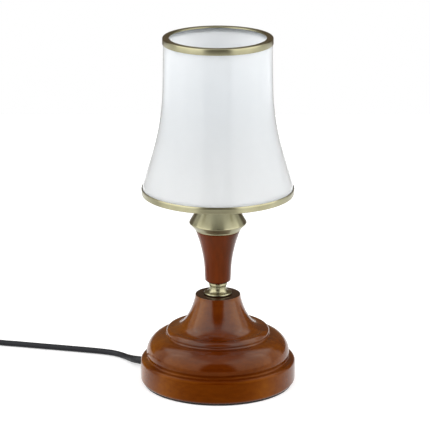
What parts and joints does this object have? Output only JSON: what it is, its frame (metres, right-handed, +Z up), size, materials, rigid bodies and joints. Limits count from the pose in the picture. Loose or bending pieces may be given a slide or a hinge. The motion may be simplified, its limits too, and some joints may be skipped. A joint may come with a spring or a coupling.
{
  "type": "table lamp",
  "caption": "Table lamp with an open flared glass shade, brass cup and rings, a turned wooden stem and stepped base, and a mains cord with an inline rocker switch.",
  "frame": {"origin": "centre of the felt pad's underside, on the surface that the lamp stands on", "axes": "+Z up along the lamp's stem; the cord leaves the base towards -X and +Y"},
  "size_m": [0.4951, 0.1945, 0.3399],
  "materials": {
    "wood": "reddish-brown stain under clear gloss lacquer",
    "brass": "antique, polished",
    "opal_glass": "white opal, glossy",
    "frosted_glass": "frosted",
    "steel": "zinc plated",
    "cast_iron": "raw",
    "felt": "felt",
    "white_plastic": "smooth",
    "contact_brass": "bright",
    "black_plastic": "fine grain",
    "cord_sheath": "satin PVC",
    "brown_wire": "satin PVC",
    "blue_wire": "satin PVC",
    "tie_strap": "matt"
  },
  "bodies": {
    "lamp": {"felt_pad": "felt", "base_body": "wood", "ballast_disc": "cast_iron", "lamp_pipe": "steel", "lower_washer": "steel", "lower_nut": "steel", "upper_washer": "steel", "upper_nut": "steel", "neck": "brass", "stem": "wood", "cup": "brass", "lampholder_cap": "white_plastic", "lampholder_sleeve": "white_plastic", "lampholder_insulator": "white_plastic", "lampholder_screw_shell": "contact_brass", "lampholder_contact": "contact_brass", "bulb_tip_contact": "steel", "bulb_cap": "steel", "bulb_glass": "frosted_glass", "shade_nut": "white_plastic", "shade_spider": "brass", "shade_bottom_ring": "brass", "shade_glass": "opal_glass", "shade_top_ring": "brass", "cord_gland": "black_plastic", "cord_grip": "black_plastic", "lead_in_base": "cord_sheath", "wire_live": "brown_wire", "wire_neutral": "blue_wire", "cord_to_switch": "cord_sheath", "switch_base": "black_plastic", "switch_cover": "black_plastic", "switch_lead_in": "cord_sheath", "switch_lead_out": "cord_sheath", "switch_terminal_in": "contact_brass", "switch_terminal_out": "contact_brass", "switch_rocker_pin": "steel", "switch_screw_1": "steel", "switch_screw_2": "steel", "cord_switch_to_coil": "cord_sheath", "cord_coil": "cord_sheath", "cord_tie": "tie_strap", "cord_coil_to_plug": "cord_sheath", "plug_body": "black_plastic", "plug_pin_1": "contact_brass", "plug_pin_2": "contact_brass"},
    "rocker": {"switch_rocker": "black_plastic"}
  },
  "joints": [
    {"name": "rocker_tilt", "type": "hinge", "parent": "lamp", "child": "rocker", "pos_m": [-0.281, 0.1065, 0.0122], "axis": [0, 1, 0], "range_deg": [-17, 0]}
  ]
}
